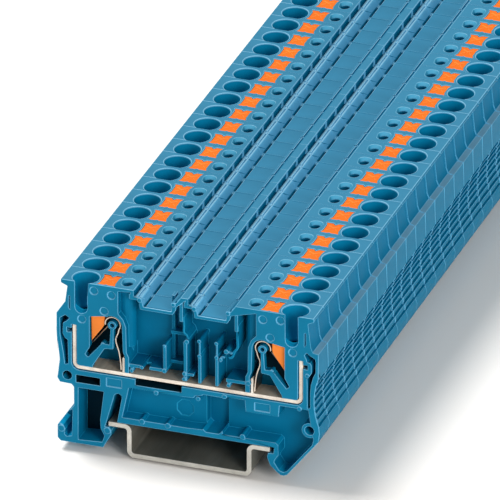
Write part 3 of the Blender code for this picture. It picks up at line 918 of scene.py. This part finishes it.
def bores():
    """The bar's groove through the ribs, and holes in the studs, pegs and clips."""
    tools = [prism(bar_groove(), OPEN_SIDE, GROOVE_DEPTH),
             prism(circle(*BOSS, 1.0, 20), OPEN_SIDE, 4.8)]
    for side in SIDES:
        tools.append(prism(circle(MID - side * PEG[0], PEG[1], 0.48), OPEN_SIDE, 3.5))
    pocket = [(-26.45, 27.8), (-25.2, 27.6), (-25.2, 26.8), (-26.45, 26.7)]
    slit = [(-26.05, 35.0), (-25.75, 35.0), (-25.75, 31.9), (-26.05, 32.3)]
    for outline, depth in ((pocket, 4.0), (slit, 0.6), (mirrored(pocket), 4.0),
                           (mirrored(slit), 0.6)):
        tools.append(prism(outline, OPEN_SIDE, depth))
    return tools


def make_front_housing():
    """The first module, which shows its inside: hollowed out, filled with ribs, then bored."""
    housing = prism(housing_outline(False), LIP, FLANGE, "front_housing")
    combine(housing, [prism(smooth_outline(), 0.0, LIP),
                      prism(housing_outline(True), FLANGE, DEPTH)] + channel_ribs(), "UNION")
    combine(housing, pocket_cutters(), "DIFFERENCE")
    test_tube = [(1.75, 24.6), (1.75, 38.0)]
    combine(housing, [turned(MID + side * TEST_AT, TEST_Y + 0.2, test_tube, 28)
                      for side in SIDES], "UNION")
    combine(housing, top_cutters() + chamber_cutters() + well_cutters(low=36.0), "DIFFERENCE")
    combine(housing, entry_slots(), "DIFFERENCE")
    combine(housing, pocket_fillings(), "UNION")
    combine(housing, bores() + test_cutters() + marks(), "DIFFERENCE")
    soften(housing, SOFT, BLUE, seam=floor_step)
    finish_details(housing)
    shade_pockets(housing)
    return scaled(housing, FRONT)


# --- buttons --------------------------------------------------------------------------------
def button_head(grow=0.0):
    """Top view of a button: waisted flanks and a notch front and back. grow widens it."""
    half = 1.95 + grow
    front, back = WELL[0] - grow, WELL[1] + grow
    waist = 0.36            # how far the flanks go in
    taper = 0.95            # length of a flank's slope at each end
    right = [(half, front), (half - waist, front + taper), (half - waist, back - taper),
             (half, back)]
    top = [(0.62 - grow / 2, back), (0.05, back - 0.72 + grow / 2), (-0.52 + grow / 2, back)]
    left = [(-half, back), (-half + waist, back - taper), (-half + waist, front + taper),
            (-half, front)]
    low = [(-0.45, front), (-0.05, front + 0.3), (0.35, front)]
    return right + top + left + low


def make_button(number, side):
    """A button; only the first module's show the wedge under the head."""
    x = MID + side * BUTTON_AT
    foot = 34.2 if number == 1 else 32.2     # the first module's head stops above its spring
    button = upright([(x + u, v) for u, v in button_head()], foot, HEAD_TOP, "button")
    if number == 1:
        left = MID - BUTTON_AT
        half = 1.85
        wedge = [(left + half, 35.0), (left + half, 33.7), (-18.55, 33.0), (-18.55, 29.4),
                 (-18.9, 28.6), (-21.3, 25.2), (-21.4, 31.1), (left - half, 31.7),
                 (left - half, 35.0)]
        if side > 0:
            wedge = mirrored(wedge)
        combine(button, [prism(wedge, WELL[0] + 0.15, WELL[1] - 0.15)], "UNION")
    # crossed recess for a screwdriver's tip
    recess = []
    for angle in (45.0, 135.0):
        blade = upright([(-1.5, -0.14), (-0.3, -0.3), (0.3, -0.3), (1.5, -0.14), (1.5, 0.14),
                         (0.3, 0.3), (-0.3, 0.3), (-1.5, 0.14)], HEAD_TOP - 0.18, HEAD_TOP + 0.5)
        blade.data.transform(Matrix.Translation((x, (WELL[0] + WELL[1]) / 2, 0.0))
                             @ Matrix.Rotation(math.radians(angle), 4, "Z"))
        recess.append(blade)
    combine(button, recess, "DIFFERENCE")
    soften(button, 0.07, ORANGE)
    return scaled(button, FRONT + (number - 1) * PITCH)


# --- metal parts ----------------------------------------------------------------------------
def make_bar():
    """The current bar, with a short tab beside each spring."""
    bar = prism(ribbon(bar_path(8), BAR_THICKNESS), *BAR_DEPTH, "bar_strip")
    tabs = []
    for x in (-14.3, across(-14.3)):
        tabs.append(prism([(x - 0.25, BAR_Z), (x - 0.25, 22.3), (x - 0.1, 22.6), (x + 0.1, 22.6),
                           (x + 0.25, 22.3), (x + 0.25, BAR_Z)], BAR_DEPTH[0] + 0.1, 4.4))
    combine(bar, tabs, "UNION")
    # painted highlight on the bar's rounded edges and its front and back faces
    painted_lit_ends(soften(bar, 0.06, (tinned, tinned_highlight)))
    return scaled(bar, FRONT)


def make_strip(path, thickness, side, front, materials, name):
    """One part of a clamping spring. The path is the left spring's."""
    outline = ribbon(path, thickness)
    if side > 0:
        outline = mirrored(outline)
    return soften(prism(outline, front, STRIP_BACK, name), 0.05, materials, segments=1)


def make_spring_loop(side):
    """The spring's fixed part: up from the bar and over the peg."""
    path = smooth_path([(-14.85, 19.6), (-15.0, 21.6), (-15.35, 23.8), (-15.95, 25.7),
                        (-15.95, 26.8), (-15.5, 27.9)]
                       + arc((MID + PEG[0], PEG[1]), 1.65, -35, 190, 9))
    # painted highlight on the loop's rounded edges and its front and back faces
    spring = make_strip(path, 0.26, side, 0.5, (steel, steel_highlight), "spring_loop_strip")
    return scaled(painted_lit_ends(spring), FRONT)


def make_spring_leg(side):
    """The spring's leg, which the button's wedge pushes down."""
    path = smooth_path([(MID + LEG_PIVOT[0], LEG_PIVOT[1]), (-19.8, 26.4), (-21.4, 24.4),
                        (-22.6, 23.5), (-24.1, 23.1)])
    # the leg is the same steel as the loop, in a darker copy as painted shade
    spring = make_strip(path, 0.24, side, 1.8, (shaded_steel, shaded_steel), "spring_leg_strip")
    return scaled(spring, FRONT)


def make_rail():
    """Top-hat rail, 35 mm wide and 7.5 mm high."""
    web, brim = RAIL_SHEET / 2, 7.5 - RAIL_SHEET / 2
    wall, edge = 13.0, 17.5
    path = rounded([(-edge, brim), (-wall, brim), (-wall, web), (wall, web), (wall, brim),
                    (edge, brim)], 1.1, 8)
    rail = prism(ribbon(path, RAIL_SHEET), 0.0, RAIL_LENGTH, "rail")
    # painted highlight on the rail's rounded edges and its ends
    painted_lit_ends(soften(rail, 0.12, (zinc, zinc_highlight)))
    return scaled(rail, FRONT)


# --- the pieces, on their bodies ------------------------------------------------------------
def place(piece, name, body, slot, *nodes):
    """Names a piece and puts it on its body, in place of the plain solids it is made from."""
    piece.name = name
    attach(piece, body)
    if nodes:
        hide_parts(*nodes)


front_housing = make_front_housing()
place(front_housing, "housing_detail_01", "bank", "housing_plastic", "housing_01")

bank_housing = make_bank_housing()
for number in range(2, MODULES + 1):
    module = bank_housing if number == 2 else bpy.data.objects.new("module", bank_housing.data)
    if number > 2:
        bpy.context.scene.collection.objects.link(module)
    module.location.y = (FRONT + (number - 1) * PITCH) * MM
    place(module, f"housing_detail_{number:02d}", "bank", "housing_plastic",
          f"housing_{number:02d}")

for side, label in zip(SIDES, ("left", "right")):
    for number in range(1, MODULES + 1):
        button = make_button(number, side)
        tag = f"{label}_{number:02d}"
        if number <= BUTTONED:
            place(button, f"button_detail_{tag}", f"button_{tag}", "button_plastic",
                  f"button_{tag}")
        else:
            place(button, f"button_detail_{tag}", "bank", "button_plastic")
    place(make_spring_loop(side), f"spring_loop_detail_{label}", "bank", "spring_steel",
          f"spring_loop_{label}")
    place(make_spring_leg(side), f"spring_leg_detail_{label}", f"spring_leg_{label}",
          "spring_steel", f"spring_leg_{label}")

place(make_bar(), "current_bar_detail", "bank", "tinned_copper", "current_bar")
place(make_rail(), "din_rail_detail", "bank", "zinc_plated_steel", "din_rail")


# --- floor, light and camera ----------------------------------------------------------------
def make_floor():
    """A matt, pale floor, just under the rail."""
    edit = bmesh.new()
    bmesh.ops.create_grid(edit, x_segments=1, y_segments=1, size=4.0)
    floor = as_object("floor", edit)
    floor.location.z = -0.0006
    material, _, shader = new_material("floor_paper")
    shader.inputs["Base Color"].default_value = (0.97, 0.93, 0.885, 1.0)
    shader.inputs["Roughness"].default_value = 0.9
    shader.inputs["Specular IOR Level"].default_value = 0.1
    floor.data.materials.append(material)


def aim(thing, target):
    """Turns a light or camera towards a point."""
    direction = Vector(target) - thing.location
    thing.rotation_euler = direction.to_track_quat("-Z", "Y").to_euler()


def soft_light(name, location, target, size, power):
    """A round, white studio light."""
    light = bpy.data.lights.new(name, "AREA")
    light.shape = "DISK"
    light.size = size
    light.energy = power
    thing = bpy.data.objects.new(name, light)
    bpy.context.scene.collection.objects.link(thing)
    thing.location = location
    aim(thing, target)


AMBIENT = 0.36          # strength of the even white light from all round

make_floor()
scene = bpy.context.scene
world = bpy.data.worlds.new("studio")
world.use_nodes = True
background = world.node_tree.nodes["Background"]
background.inputs["Color"].default_value = (1.0, 1.0, 1.0, 1.0)
background.inputs["Strength"].default_value = AMBIENT
scene.world = world
soft_light("key", (-0.5, 0.1, 1.35), (0.0, -0.03, 0.02), size=0.6, power=19.3)
soft_light("side_fill", (0.95, -0.9, 0.5), (0.0, -0.05, 0.02), size=0.6, power=10.9)
scene.view_settings.view_transform = "Standard"
scene.view_settings.look = "None"

AZIMUTH = math.radians(19.28)
ELEVATION = math.radians(26.94)
VIEW_WIDTH = 0.103      # what the frame spans at the point aimed at
AIM_AT = Vector((-0.00058, -0.0431, 0.0308))
camera_data = bpy.data.cameras.new("camera")
camera_data.lens = 1100.0
camera_data.sensor_width = 36.0
camera_data.clip_end = 40.0
camera = bpy.data.objects.new("camera", camera_data)
scene.collection.objects.link(camera)
backwards = Vector((math.sin(AZIMUTH) * math.cos(ELEVATION),
                    -math.cos(AZIMUTH) * math.cos(ELEVATION), math.sin(ELEVATION)))
camera.location = AIM_AT + backwards * VIEW_WIDTH * camera_data.lens / camera_data.sensor_width
aim(camera, AIM_AT)
scene.camera = camera
